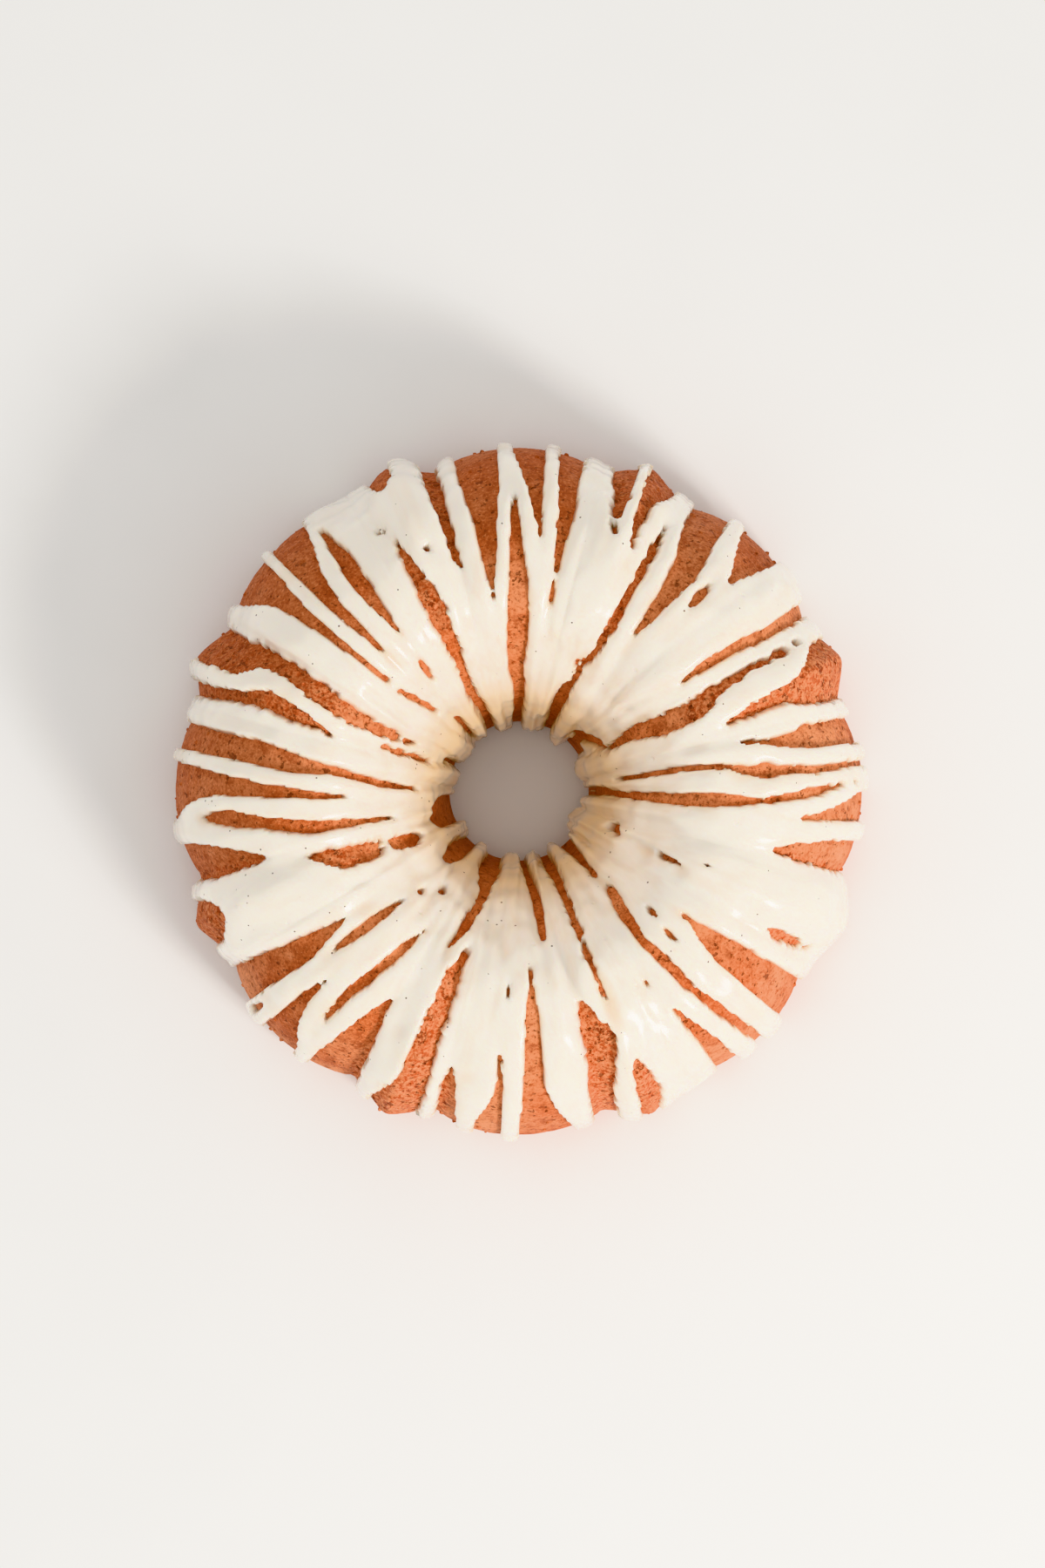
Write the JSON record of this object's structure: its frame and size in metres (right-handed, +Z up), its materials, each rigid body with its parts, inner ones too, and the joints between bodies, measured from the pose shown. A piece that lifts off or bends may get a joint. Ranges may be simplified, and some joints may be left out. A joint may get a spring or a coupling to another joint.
{
  "type": "ring pound cake",
  "caption": "Fluted ring pound cake turned out on its wide flat base, with a centre hole and thick pale icing drizzled from the hole over the crown and down the sides.",
  "frame": {"origin": "the middle of the cake's flat base, on the axis of its box", "axes": "+Z up out of the flat base, +X to the right of the picture and +Y to its top"},
  "size_m": [0.251, 0.2514, 0.0885],
  "materials": {
    "crust": "dull baked crust",
    "icing": "soft satin icing"
  },
  "bodies": {
    "root": {"cake": "crust"}
  },
  "joints": []
}
